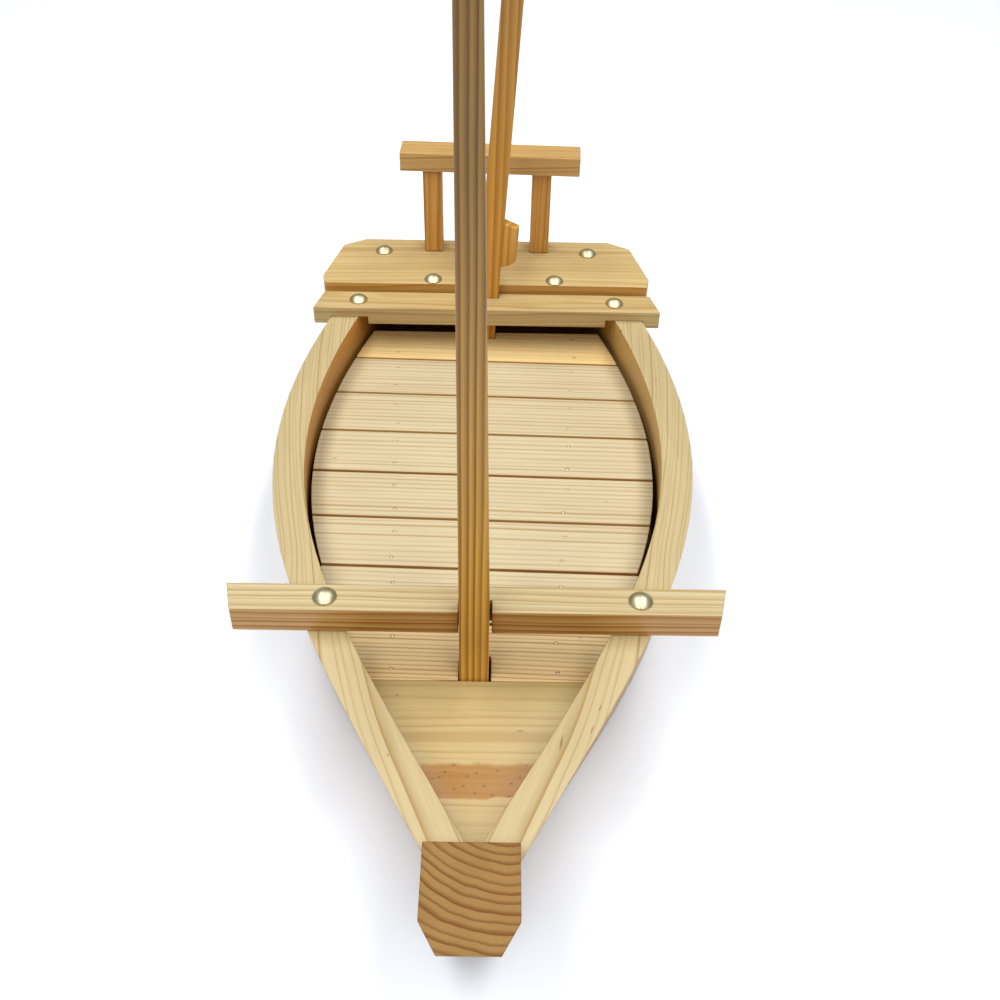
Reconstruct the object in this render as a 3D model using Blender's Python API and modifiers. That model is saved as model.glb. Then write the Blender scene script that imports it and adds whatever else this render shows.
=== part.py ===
"""A pine sushi boat: curved sides on a raked stem, a slatted deck, cross beams, a stern deck with a gate,
and a mast and an oar that lift out.

Metres, +Z up, bow towards -Y. The origin is on the table, under the middle of the boat's length.
"""

import math

import bmesh
import bpy
import numpy as np
from mathutils import Vector
from mathutils.geometry import interpolate_bezier

# Whole boat
LENGTH = 0.500
HULL_HEIGHT = 0.075
SEAT_GAP = 0.0003
EDGE_EASE = 0.0005
WELD = 0.00001
FLAT = math.radians(0.1)

# Stem post, set a little to the left of the centre plane
STEM_WIDTH = 0.0372
STEM_OFFSET = -0.0009
STEM_DEPTH = 0.0450
STEM_RISE = 0.008
STEM_RAKE = math.radians(30)
STEM_CHAMFER_ACROSS = 0.007
STEM_CHAMFER_ALONG = 0.013

# Side planks: the pulls are the handles of the curve along the gunwale's outer edge, and the leans say
# how much further out each face stands at the table than at the gunwale, where the hull is widest
PLANK_THICKNESS = 0.0165
PLANK_APEX_GAP = 0.0072
BOW_PULL_ALONG = 0.1436
BOW_PULL_OUT = 0.0785
STERN_PULL_ALONG = 0.2107
STERN_PULL_OUT = 0.0759
STERN_BREADTH = 0.1524
STERN_OVERHANG = 0.010
OUTER_LEAN = -0.001
INNER_LEAN = 0.005
HULL_STATIONS = 32

# Boards inside the hull
BOTTOM_THICKNESS = 0.006
TRANSOM_THICKNESS = 0.012
BOARD_FIT = {"left": 0.0004, "right": 0.0004}
BOARD_STEP = 0.012

# Slatted deck: its slats lie a little to the left in the hull and askew
DECK_DEPTH = 0.024
SLAT_THICKNESS = 0.008
SLAT_COUNT = 8
SLAT_SPACE = 0.0018
SLAT_SKEW = math.radians(1.5)
SLAT_END_CLEARANCE = {"left": 0.0022, "right": 0.0030}
FRONT_SLAT_TRIM = 0.0008
REAR_SLAT_TRIM = 0.005
BATTEN_WIDTH = 0.015
BATTEN_HEIGHT = 0.012
BATTEN_SPREAD_FRONT = 0.079
BATTEN_SPREAD_REAR = 0.113
BATTEN_END_INSET = 0.006
BEARER_WIDTH = 0.016
FRONT_BEARER_INSET = 0.040
REAR_BEARER_INSET = 0.036

# Front beam, which reaches further out on the left
BEAM_FROM_STEM = 0.1072
FRONT_BEAM_WIDTH = 0.0164
FRONT_BEAM_HEIGHT = 0.0140
FRONT_BEAM_OVERHANG = 0.0293
FRONT_BEAM_OFFSET = -0.0015
FRONT_BEAM_SLANT = 0.004

# Rear beam
REAR_BEAM_WIDTH = 0.0197
REAR_BEAM_HEIGHT = 0.0115
REAR_BEAM_OVERHANG = 0.0109
REAR_BEAM_SLANT = 0.005
REAR_BEAM_LAP = 0.0054
LAP_CLEARANCE = 0.0006

# Stern deck, which reaches further out on the left
STERN_DECK_DEPTH = 0.057
STERN_DECK_THICKNESS = 0.0112
STERN_DECK_OVERHANG = 0.0111
STERN_DECK_OFFSET = -0.0009
STERN_BULGE_ALONG = 0.009
STERN_BULGE_ACROSS = 0.0019
STERN_SIDE_TAPER = 0.0093
STERN_CORNER_ALONG = 0.0085
STERN_CORNER_ACROSS = 0.0142
STERN_BEARER_WIDTH = 0.011
STERN_BEARER_HEIGHT = 0.016

# Gate on the stern deck: its posts stand a little to the left, its rail a little to the right
POST_SIZE = 0.0121
POST_SPACING = 0.0694
POST_OFFSET = -0.0011
POST_SETBACK = 0.0096
POST_HEIGHT = 0.0570
TENON_DIAMETER = 0.006
MORTISE_FLOOR = 0.004
RAIL_OVERHANG = 0.0156
RAIL_OFFSET = 0.0008
RAIL_DEPTH = 0.0184
RAIL_HEIGHT = 0.0120
RAIL_TURN = math.radians(2.3)
RAIL_FORWARD = 0.0019

# Mast: its notches leave it more room on the right
MAST_WIDTH = 0.0136
MAST_DEPTH = 0.014
MAST_TOP_WIDTH = 0.0086
MAST_TOP_DEPTH = 0.010
MAST_ABOVE_GUNWALE = 0.315
MAST_NOTCH_DEPTH = 0.0076
MAST_OFFSET = -0.0022
MAST_CLEARANCE = 0.0005
MAST_RIGHT_CLEARANCE = 0.0011
STEP_WALL = 0.007

# Oar
OAR_WIDTH = 0.0135
OAR_THICKNESS = 0.007
OAR_TOP_WIDTH = 0.0114
OAR_TOP_THICKNESS = 0.006
OAR_LENGTH = 0.325
OAR_LEAN = math.radians(3.67)
OAR_OFFSET = 0.0002
OAR_CLEARANCE = 0.0004
STERN_SLOT = 0.0023
STOP_WIDTH = 0.0088
STOP_DEPTH = 0.008
STOP_INNER_LENGTH = 0.0298
STOP_OUTER_LENGTH = 0.0225
STOP_ABOVE_DECK = 0.0172
STOP_CHAMFER = 0.003

# Dome nails: those in the planks are placed from the plank's inner face
NAIL_HEAD_DIAMETER = 0.011
NAIL_HEAD_HEIGHT = 0.003
NAIL_SHANK_DIAMETER = 0.0024
NAIL_LENGTH = 0.020
NAIL_POINT = 0.003
NAIL_DOME_STEPS = 5
FRONT_NAIL_INSET = {"left": 0.0059, "right": 0.0086}
REAR_NAIL_INSET = {"left": 0.0029, "right": 0.0023}
AFT_NAIL_INSET = {"left": 0.0075, "right": 0.0048}
AFT_NAIL_FROM_END = 0.006
DECK_NAIL_SPACING = 0.0776
DECK_NAIL_OFFSET = 0.0041
ROUND_SEGMENTS = 16

# Colours, roughness and metallic value of each finish
FINISHES = {
    "pale_pine": ((0.76, 0.61, 0.33), 0.5, 0.0),
    "deck_pine": ((0.80, 0.66, 0.42), 0.55, 0.0),
    "brown_pine": ((0.42, 0.25, 0.09), 0.5, 0.0),
    "end_grain": ((0.46, 0.29, 0.11), 0.6, 0.0),
    "nickel": ((0.72, 0.68, 0.55), 0.22, 1.0),
}

# Places that follow from the sizes
STEM_TOP = HULL_HEIGHT + STEM_RISE
STEM_FRONT = -LENGTH / 2
STEM_BACK = STEM_FRONT + STEM_DEPTH + STEM_RISE * math.tan(STEM_RAKE)
HULL_STERN = LENGTH / 2 - STERN_OVERHANG
DECK_TOP = HULL_HEIGHT - DECK_DEPTH
SLAT_BOTTOM = DECK_TOP - SLAT_THICKNESS
BATTEN_TOP = SLAT_BOTTOM - SEAT_GAP
BATTEN_BOTTOM = BATTEN_TOP - BATTEN_HEIGHT
BOARD_SEAT = BOTTOM_THICKNESS + SEAT_GAP
GUNWALE_SEAT = HULL_HEIGHT + SEAT_GAP
FRONT_BEAM_FRONT = STEM_BACK + BEAM_FROM_STEM
FRONT_BEAM_BACK = FRONT_BEAM_FRONT + FRONT_BEAM_WIDTH
FRONT_BEAM_TOP = GUNWALE_SEAT + FRONT_BEAM_HEIGHT
MAST_BACK = FRONT_BEAM_FRONT + MAST_NOTCH_DEPTH - MAST_CLEARANCE
MAST_FRONT = MAST_BACK - MAST_DEPTH
STERN_DECK_FACE = LENGTH / 2 - STERN_DECK_DEPTH
STERN_DECK_TOP = GUNWALE_SEAT + STERN_DECK_THICKNESS
REAR_BEAM_BACK = STERN_DECK_FACE - STERN_SLOT
REAR_BEAM_FRONT = REAR_BEAM_BACK - REAR_BEAM_WIDTH
REAR_BEAM_BOTTOM = GUNWALE_SEAT - REAR_BEAM_LAP
REAR_BEAM_TOP = REAR_BEAM_BOTTOM + REAR_BEAM_HEIGHT
OAR_BACK = STERN_DECK_FACE - OAR_CLEARANCE
OAR_FRONT = OAR_BACK - OAR_THICKNESS
OAR_FOOT = BOARD_SEAT + OAR_WIDTH / 2 * math.sin(OAR_LEAN)
DECK_FRONT = MAST_FRONT - MAST_CLEARANCE
DECK_BACK = OAR_BACK
GATE_Y = LENGTH / 2 - POST_SETBACK
SIDES = (("left", -1), ("right", 1))

for old_object in list(bpy.data.objects):
    bpy.data.objects.remove(old_object, do_unlink=True)


# The hull's curved faces

BOW_HALF = PLANK_APEX_GAP / 2 + PLANK_THICKNESS * math.hypot(1, BOW_PULL_OUT / BOW_PULL_ALONG)
STEM_LAP = BOW_HALF * BOW_PULL_ALONG / BOW_PULL_OUT / 2
GUNWALE = np.array(
    interpolate_bezier(
        Vector((STEM_BACK, BOW_HALF)),
        Vector((STEM_BACK + BOW_PULL_ALONG, BOW_HALF + BOW_PULL_OUT)),
        Vector((HULL_STERN - STERN_PULL_ALONG, STERN_BREADTH / 2 + STERN_PULL_OUT)),
        Vector((HULL_STERN, STERN_BREADTH / 2)),
        HULL_STATIONS + 1,
    )
)


def stem_back(z):
    """Y of the stem's raked rear face at height z."""
    return STEM_BACK + (HULL_HEIGHT - z) * math.tan(STEM_RAKE)


def hull_line(z, inset, lean=OUTER_LEAN):
    """Y and half-breadth at height z of a plank's outer face, moved in square to itself by inset."""
    along, half = GUNWALE.T
    bow = stem_back(z)
    y = bow + (along - STEM_BACK) * (HULL_STERN - bow) / (HULL_STERN - STEM_BACK)
    fullness = (half - BOW_HALF) / (half.max() - BOW_HALF)
    half = half + lean * (1 - z / HULL_HEIGHT) * fullness
    return y, half - inset * np.hypot(1, np.gradient(half, y))


def half_breadth(y, z, inset):
    """Half-breadth of the hull at one place, measured to a face that lies inset from the outside."""
    return float(np.interp(y, *hull_line(z, inset)))


def hull_outline(y_front, y_back, z, fit, skews=(0, 0), front_notch=(), back_notch=()):
    """Plan outline of a board between the planks at height z, anticlockwise from its front right corner.

    The fit is the gap to either plank, and the skews turn the front and the back edge clockwise.
    """
    steps = max(2, round((y_back - y_front) / BOARD_STEP))
    y_front = max(y_front, stem_back(z) + SEAT_GAP)
    edges = {}
    for side, sign in SIDES:
        line = hull_line(z, PLANK_THICKNESS + fit[side], INNER_LEAN)
        ends = [y - sign * np.interp(y, *line) * math.tan(skew) for y, skew in zip((y_front, y_back), skews)]
        ys = np.linspace(*ends, steps + 1)
        edges[side] = list(zip(sign * np.interp(ys, *line), ys))
    return [*edges["right"], *back_notch, *reversed(edges["left"]), *front_notch]


# Building helpers


def new_collection(name):
    collection = bpy.data.collections.new(name)
    bpy.context.scene.collection.children.link(collection)
    return collection


PARTS = new_collection("sushi_boat")
CUTTERS = new_collection("sushi_boat_cutters")


def new_material(name, finish):
    colour, roughness, metallic = FINISHES[finish]
    material = bpy.data.materials.new(name)
    material.use_nodes = True
    shader = material.node_tree.nodes["Principled BSDF"]
    shader.inputs["Base Color"].default_value = (*colour, 1)
    shader.inputs["Roughness"].default_value = roughness
    shader.inputs["Metallic"].default_value = metallic
    material.diffuse_color = (*colour, 1)
    return material


def to_mesh(name, bm):
    bmesh.ops.recalc_face_normals(bm, faces=bm.faces)
    mesh = bpy.data.meshes.new(name)
    bm.to_mesh(mesh)
    bm.free()
    return mesh


def add_part(name, mesh, finish, ease=EDGE_EASE, location=(0, 0, 0)):
    """One sub-part with its own material and lightly eased edges."""
    part = bpy.data.objects.new(name, mesh)
    part.location = location
    PARTS.objects.link(part)
    if not mesh.materials:
        mesh.materials.append(new_material(mesh.name, finish))
    if ease:
        bevel = part.modifiers.new("eased edges", "BEVEL")
        bevel.width = ease
        bevel.segments = 2
        bevel.limit_method = "ANGLE"
    return part


def add_cutter(name, mesh, location=(0, 0, 0)):
    cutter = bpy.data.objects.new(name, mesh)
    cutter.location = location
    cutter.hide_render = True
    cutter.display_type = "WIRE"
    CUTTERS.objects.link(cutter)
    return cutter


def combine(part, cutter, operation="DIFFERENCE"):
    boolean = part.modifiers.new(cutter.name, "BOOLEAN")
    boolean.operation = operation
    boolean.object = cutter


def loft_mesh(name, rings):
    """A closed mesh through rings of points, each ring with as many points as the last."""
    bm = bmesh.new()
    rows = [[bm.verts.new(point) for point in ring] for ring in rings]
    for row, next_row in zip(rows, rows[1:]):
        for i in range(len(row)):
            j = (i + 1) % len(row)
            bm.faces.new((row[i], row[j], next_row[j], next_row[i]))
    bm.faces.new(rows[0])
    bm.faces.new(rows[-1])
    return to_mesh(name, bm)


def plate_mesh(name, outline, z_low, z_high):
    """A flat plate cut to an outline: a filled curve, made into a mesh whose caps are welded on."""
    curve = bpy.data.curves.new(name, "CURVE")
    curve.dimensions = "2D"
    curve.fill_mode = "BOTH"
    curve.extrude = (z_high - z_low) / 2
    spline = curve.splines.new("POLY")
    spline.points.add(len(outline) - 1)
    for point, (x, y) in zip(spline.points, outline):
        point.co = (x, y, 0, 1)
    spline.use_cyclic_u = True
    guide = bpy.data.objects.new(name, curve)
    CUTTERS.objects.link(guide)
    filled = bpy.data.meshes.new_from_object(guide.evaluated_get(bpy.context.evaluated_depsgraph_get()))
    bm = bmesh.new()
    bm.from_mesh(filled)
    bpy.data.objects.remove(guide, do_unlink=True)
    bpy.data.meshes.remove(filled)
    bmesh.ops.remove_doubles(bm, verts=bm.verts, dist=WELD)
    bmesh.ops.dissolve_limit(bm, angle_limit=FLAT, verts=bm.verts, edges=bm.edges)
    bmesh.ops.translate(bm, vec=(0, 0, (z_low + z_high) / 2), verts=bm.verts)
    return to_mesh(name, bm)


def board_mesh(name, low, high, z_low, z_high):
    """A board whose plan is the outline low at its underside and high at its top."""
    rings = [[(x, y, z) for x, y in outline] for outline, z in ((low, z_low), (high, z_high))]
    return loft_mesh(name, rings)


def fitted_mesh(name, y_front, y_back, z_low, z_high, fit):
    """A board whose sides follow the inside of the planks."""
    low = hull_outline(y_front, y_back, z_low, fit)
    high = hull_outline(y_front, y_back, z_high, fit)
    return board_mesh(name, low, high, z_low, z_high)


def box_mesh(name, low, high):
    bm = bmesh.new()
    bmesh.ops.create_cube(bm, size=1)
    low, high = Vector(low), Vector(high)
    bmesh.ops.scale(bm, vec=high - low, verts=bm.verts)
    bmesh.ops.translate(bm, vec=(low + high) / 2, verts=bm.verts)
    return to_mesh(name, bm)


def rod_mesh(name, diameter, z_low, z_high):
    bm = bmesh.new()
    bmesh.ops.create_cone(
        bm,
        cap_ends=True,
        segments=ROUND_SEGMENTS,
        radius1=diameter / 2,
        radius2=diameter / 2,
        depth=z_high - z_low,
    )
    bmesh.ops.translate(bm, vec=(0, 0, (z_low + z_high) / 2), verts=bm.verts)
    return to_mesh(name, bm)


# Hull


def make_stem():
    """Raked post with chamfered front corners and a level top above the gunwales."""
    side = STEM_WIDTH / 2
    nose = side - STEM_CHAMFER_ACROSS
    back = STEM_FRONT + STEM_DEPTH
    shoulder = STEM_FRONT + STEM_CHAMFER_ALONG
    top = [(side, back), (-side, back), (-side, shoulder), (-nose, STEM_FRONT)]
    top += [(nose, STEM_FRONT), (side, shoulder)]
    drift = STEM_TOP * math.tan(STEM_RAKE)
    foot = [(x, y + drift) for x, y in top]
    mesh = board_mesh("stem_post", foot, top, 0, STEM_TOP)
    add_part("stem_post", mesh, "end_grain", location=(STEM_OFFSET, 0, 0))


def stem_seat():
    """Cutter for the planks' bow ends: the stem's rear and sides with the seat gap, run on ahead of it."""
    side = STEM_WIDTH / 2 + SEAT_GAP
    back = STEM_FRONT + STEM_DEPTH + SEAT_GAP
    ahead = STEM_FRONT - STEM_DEPTH
    top = [(side, back), (-side, back), (-side, ahead), (side, ahead)]
    drift = (STEM_TOP + STEM_RISE) * math.tan(STEM_RAKE)
    foot = [(x, y + drift) for x, y in top]
    mesh = board_mesh("stem_seat", foot, top, -STEM_RISE, STEM_TOP)
    return add_cutter("stem_seat", mesh, (STEM_OFFSET, 0, 0))


def make_side(name, sign, seat):
    """Plank from the stem, whose sides its outer face runs on to meet, to the stern, thinner at its foot."""
    corners = []
    outer, inner = (0, OUTER_LEAN), (PLANK_THICKNESS, INNER_LEAN)
    for z, (inset, lean) in ((0, outer), (HULL_HEIGHT, outer), (HULL_HEIGHT, inner), (0, inner)):
        y, half = hull_line(z, inset, lean)
        y[0] -= STEM_LAP
        half[0] -= STEM_LAP * BOW_PULL_OUT / BOW_PULL_ALONG
        corners.append([(sign * x, along, z) for along, x in zip(y, half)])
    plank = add_part(name, loft_mesh(name, list(zip(*corners))), "pale_pine")
    combine(plank, seat)
    return plank


def make_hull_boards():
    transom_face = HULL_STERN - TRANSOM_THICKNESS
    bottom = fitted_mesh("bottom_board", STEM_FRONT, transom_face - SEAT_GAP, 0, BOTTOM_THICKNESS, BOARD_FIT)
    add_part("bottom_board", bottom, "pale_pine")
    transom = fitted_mesh("transom", transom_face, HULL_STERN, 0, HULL_HEIGHT, BOARD_FIT)
    add_part("transom", transom, "pale_pine")
    fore_back = DECK_FRONT - SEAT_GAP
    fore = fitted_mesh("fore_board", STEM_FRONT, fore_back, SLAT_BOTTOM, DECK_TOP, BOARD_FIT)
    add_part("fore_board", fore, "pale_pine")


# Deck


def oar_centre(z):
    """X of the leaning oar's middle at height z."""
    return OAR_OFFSET + (z - REAR_BEAM_TOP) * math.tan(OAR_LEAN)


def oar_slot(z_low, z_high):
    """X limits of a slot that the leaning oar passes between two heights."""
    spare = OAR_WIDTH / 2 / math.cos(OAR_LEAN) + OAR_CLEARANCE
    return oar_centre(z_low) - spare, oar_centre(z_high) + spare


def mast_slot():
    """X limits of the notches that the mast stands in."""
    left = MAST_OFFSET - MAST_WIDTH / 2
    return left - MAST_CLEARANCE, left + MAST_WIDTH + MAST_RIGHT_CLEARANCE


def make_slats():
    """Boards across the boat with their ends cut to the hull, notched for the mast and the oar.

    The joints between them are askew, the deck's own front and back edges are square.
    """
    pitch = (DECK_BACK + REAR_SLAT_TRIM - DECK_FRONT + FRONT_SLAT_TRIM) / SLAT_COUNT
    mast_left, mast_right = mast_slot()
    mast_wall = MAST_BACK + MAST_CLEARANCE
    oar_left, oar_right = oar_slot(SLAT_BOTTOM, DECK_TOP)
    oar_wall = OAR_FRONT - OAR_CLEARANCE
    for i in range(SLAT_COUNT):
        joint = DECK_FRONT - FRONT_SLAT_TRIM + i * pitch
        front = max(joint, DECK_FRONT)
        back = min(joint + pitch - SLAT_SPACE, DECK_BACK)
        front_notch = back_notch = ()
        skews = [SLAT_SKEW, SLAT_SKEW]
        if i == 0:
            skews[0] = 0
            front_notch = [(mast_left, front), (mast_left, mast_wall)]
            front_notch += [(mast_right, mast_wall), (mast_right, front)]
        if i == SLAT_COUNT - 1:
            skews[1] = 0
            back_notch = [(oar_right, back), (oar_right, oar_wall)]
            back_notch += [(oar_left, oar_wall), (oar_left, back)]
        name = f"deck_slat_{i + 1}"
        low = hull_outline(front, back, SLAT_BOTTOM, SLAT_END_CLEARANCE, skews, front_notch, back_notch)
        high = hull_outline(front, back, DECK_TOP, SLAT_END_CLEARANCE, skews, front_notch, back_notch)
        add_part(name, board_mesh(name, low, high, SLAT_BOTTOM, DECK_TOP), "deck_pine")


def make_batten(name, sign):
    """Strip under the slats, along one of the splayed rows of brads."""
    front = Vector((sign * BATTEN_SPREAD_FRONT / 2, DECK_FRONT + BATTEN_END_INSET, 0))
    back = Vector((sign * BATTEN_SPREAD_REAR / 2, DECK_BACK - BATTEN_END_INSET, 0))
    run = back - front
    half_length = run.length / 2
    low = (-BATTEN_WIDTH / 2, -half_length, BATTEN_BOTTOM)
    high = (BATTEN_WIDTH / 2, half_length, BATTEN_TOP)
    batten = add_part(name, box_mesh(name, low, high), "pale_pine", location=(front + back) / 2)
    batten.rotation_euler = (0, 0, -math.atan2(run.x, run.y))


def make_bearer(name, y_front):
    """Cross piece on the bottom board that carries both battens."""
    top = BATTEN_BOTTOM - SEAT_GAP
    mesh = fitted_mesh(name, y_front, y_front + BEARER_WIDTH, BOARD_SEAT, top, BOARD_FIT)
    add_part(name, mesh, "pale_pine")


def make_deck():
    make_slats()
    for side, sign in SIDES:
        make_batten(f"{side}_deck_batten", sign)
    make_bearer("front_deck_bearer", DECK_FRONT + FRONT_BEARER_INSET)
    make_bearer("rear_deck_bearer", DECK_BACK - REAR_BEARER_INSET - BEARER_WIDTH)


# Beams and stern


def make_front_beam():
    """Bar on the gunwales, longer at its back edge, with the mast's notch in its front."""
    back_half = half_breadth(FRONT_BEAM_BACK, HULL_HEIGHT, 0) + FRONT_BEAM_OVERHANG
    front_half = back_half - FRONT_BEAM_SLANT
    left, right = mast_slot()
    wall = MAST_BACK + MAST_CLEARANCE
    ends = [(front_half, FRONT_BEAM_FRONT), (back_half, FRONT_BEAM_BACK)]
    ends += [(-back_half, FRONT_BEAM_BACK), (-front_half, FRONT_BEAM_FRONT)]
    plan = [(FRONT_BEAM_OFFSET + x, y) for x, y in ends]
    plan += [(left, FRONT_BEAM_FRONT), (left, wall), (right, wall), (right, FRONT_BEAM_FRONT)]
    mesh = plate_mesh("front_beam", plan, GUNWALE_SEAT, FRONT_BEAM_TOP)
    return add_part("front_beam", mesh, "pale_pine")


def make_rear_beam():
    """Bar lapped over the gunwales, longer at its front edge, with the oar's notch in its back."""
    front_half = half_breadth(REAR_BEAM_FRONT, HULL_HEIGHT, 0) + REAR_BEAM_OVERHANG
    back_half = front_half - REAR_BEAM_SLANT
    left, right = oar_slot(REAR_BEAM_BOTTOM, REAR_BEAM_TOP)
    wall = OAR_FRONT - OAR_CLEARANCE
    plan = [(front_half, REAR_BEAM_FRONT), (back_half, REAR_BEAM_BACK)]
    plan += [(right, REAR_BEAM_BACK), (right, wall), (left, wall), (left, REAR_BEAM_BACK)]
    plan += [(-back_half, REAR_BEAM_BACK), (-front_half, REAR_BEAM_FRONT)]
    mesh = plate_mesh("rear_beam", plan, REAR_BEAM_BOTTOM, REAR_BEAM_TOP)
    beam = add_part("rear_beam", mesh, "pale_pine")
    inside = half_breadth(REAR_BEAM_BACK, HULL_HEIGHT, PLANK_THICKNESS + LAP_CLEARANCE)
    outside = half_breadth(REAR_BEAM_FRONT, HULL_HEIGHT, -LAP_CLEARANCE)
    for side, sign in SIDES:
        name = f"{side}_lap"
        low_x, high_x = sorted((sign * inside, sign * outside))
        low = (low_x, REAR_BEAM_FRONT - REAR_BEAM_WIDTH, REAR_BEAM_BOTTOM - REAR_BEAM_LAP)
        high = (high_x, REAR_BEAM_BACK + REAR_BEAM_WIDTH, GUNWALE_SEAT)
        combine(beam, add_cutter(name, box_mesh(name, low, high)))
    return beam


def make_stern_deck():
    """Raised board with tapered front corners and cut back corners, on the gunwales and the stern bearer."""
    back = LENGTH / 2
    front_half = half_breadth(STERN_DECK_FACE, HULL_HEIGHT, 0) + STERN_DECK_OVERHANG
    widest = front_half + STERN_BULGE_ACROSS
    shoulder = widest - STERN_SIDE_TAPER
    plan = [(front_half, STERN_DECK_FACE), (widest, STERN_DECK_FACE + STERN_BULGE_ALONG)]
    plan += [(shoulder, back - STERN_CORNER_ALONG), (shoulder - STERN_CORNER_ACROSS, back)]
    plan += [(-x, y) for x, y in reversed(plan)]
    plan = [(STERN_DECK_OFFSET + x, y) for x, y in plan]
    mesh = plate_mesh("stern_deck", plan, GUNWALE_SEAT, STERN_DECK_TOP)
    return add_part("stern_deck", mesh, "pale_pine")


def make_stern_bearer():
    mesh = fitted_mesh(
        "stern_bearer",
        STERN_DECK_FACE,
        STERN_DECK_FACE + STERN_BEARER_WIDTH,
        HULL_HEIGHT - STERN_BEARER_HEIGHT,
        HULL_HEIGHT,
        BOARD_FIT,
    )
    return add_part("stern_bearer", mesh, "pale_pine")


def make_gate(stern_deck):
    """Two square posts with round tenons into the stern deck and into the rail across their tops."""
    foot = STERN_DECK_TOP + SEAT_GAP
    head = foot + POST_HEIGHT
    rail_low = head + SEAT_GAP
    rail_top = rail_low + RAIL_HEIGHT
    half = POST_SIZE / 2
    rail_half = POST_SPACING / 2 + half + RAIL_OVERHANG
    low = (-rail_half, -RAIL_DEPTH / 2, rail_low)
    high = (rail_half, RAIL_DEPTH / 2, rail_top)
    place = (RAIL_OFFSET, GATE_Y - RAIL_FORWARD, 0)
    rail = add_part("gate_rail", box_mesh("gate_rail", low, high), "brown_pine", location=place)
    rail.rotation_euler = (0, 0, -RAIL_TURN)
    mortise = TENON_DIAMETER + 2 * SEAT_GAP
    mortise_low = GUNWALE_SEAT + MORTISE_FLOOR
    mortise_top = rail_top - MORTISE_FLOOR
    for side, sign in SIDES:
        name = f"{side}_gate_post"
        place = (POST_OFFSET + sign * POST_SPACING / 2, GATE_Y, 0)
        body = box_mesh(name, (-half, -half, foot), (half, half, head))
        post = add_part(name, body, "brown_pine", location=place)
        tenon = rod_mesh(f"{side}_tenon", TENON_DIAMETER, mortise_low + SEAT_GAP, mortise_top - SEAT_GAP)
        combine(post, add_cutter(tenon.name, tenon, place), "UNION")
        hole = rod_mesh(f"{side}_mortise", mortise, mortise_low, mortise_top)
        cutter = add_cutter(hole.name, hole, place)
        combine(stern_deck, cutter)
        combine(rail, cutter)


# Mast and oar


def section(left, right, front, back, z):
    return [(right, front, z), (right, back, z), (left, back, z), (left, front, z)]


def make_mast():
    """Square stick on its foot's origin, parallel up to the beam, then tapered on its right and back."""
    foot = BOARD_SEAT
    left = -MAST_WIDTH / 2
    front = -MAST_DEPTH / 2
    shoulder = FRONT_BEAM_TOP - foot
    tip = HULL_HEIGHT + MAST_ABOVE_GUNWALE - foot
    rings = [
        section(left, left + MAST_WIDTH, front, front + MAST_DEPTH, 0),
        section(left, left + MAST_WIDTH, front, front + MAST_DEPTH, shoulder),
        section(left, left + MAST_TOP_WIDTH, front, front + MAST_TOP_DEPTH, tip),
    ]
    place = (MAST_OFFSET, MAST_FRONT + MAST_DEPTH / 2, foot)
    add_part("mast", loft_mesh("mast", rings), "brown_pine", location=place)


def make_mast_step():
    """Block between the bottom board and the deck, with a square socket through it for the mast."""
    left, right = mast_slot()
    front = MAST_FRONT - MAST_CLEARANCE
    back = MAST_BACK + MAST_CLEARANCE
    top = SLAT_BOTTOM - SEAT_GAP
    low = (left - STEP_WALL, front - STEP_WALL, BOARD_SEAT)
    high = (right + STEP_WALL, back + STEP_WALL, top)
    step = add_part("mast_step", box_mesh("mast_step", low, high), "pale_pine")
    socket = box_mesh("mast_socket", (left, front, 0), (right, back, HULL_HEIGHT))
    combine(step, add_cutter("mast_socket", socket))


def make_oar():
    """Flat stick leaning to the right, parallel up to the stern deck, with a stop on its right side."""
    place = (oar_centre(OAR_FOOT), OAR_FRONT + OAR_THICKNESS / 2, OAR_FOOT)
    half, thick = OAR_WIDTH / 2, OAR_THICKNESS / 2
    top_half, top_thick = OAR_TOP_WIDTH / 2, OAR_TOP_THICKNESS / 2
    shoulder = (STERN_DECK_TOP - OAR_FOOT) / math.cos(OAR_LEAN)
    rings = [
        section(-half, half, -thick, thick, 0),
        section(-half, half, -thick, thick, shoulder),
        section(-top_half, top_half, -top_thick, top_thick, OAR_LENGTH),
    ]
    oar = add_part("oar", loft_mesh("oar", rings), "brown_pine", location=place)
    oar.rotation_euler = (0, OAR_LEAN, 0)

    inner = half + SEAT_GAP
    outer = inner + STOP_WIDTH
    bottom = shoulder + STOP_ABOVE_DECK
    slope = (STOP_INNER_LENGTH - STOP_OUTER_LENGTH) / 2 / STOP_WIDTH
    rings = []
    for base, rise in ((bottom, slope), (bottom + STOP_INNER_LENGTH, -slope)):
        plan = [(inner, -STOP_DEPTH / 2), (outer - STOP_CHAMFER, -STOP_DEPTH / 2)]
        plan += [(outer, STOP_CHAMFER - STOP_DEPTH / 2), (outer, STOP_DEPTH / 2), (inner, STOP_DEPTH / 2)]
        rings.append([(x, y, base + (x - inner) * rise) for x, y in plan])
    stop = add_part("oar_stop", loft_mesh("oar_stop", rings), "brown_pine")
    stop.parent = oar


# Dome nails


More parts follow.
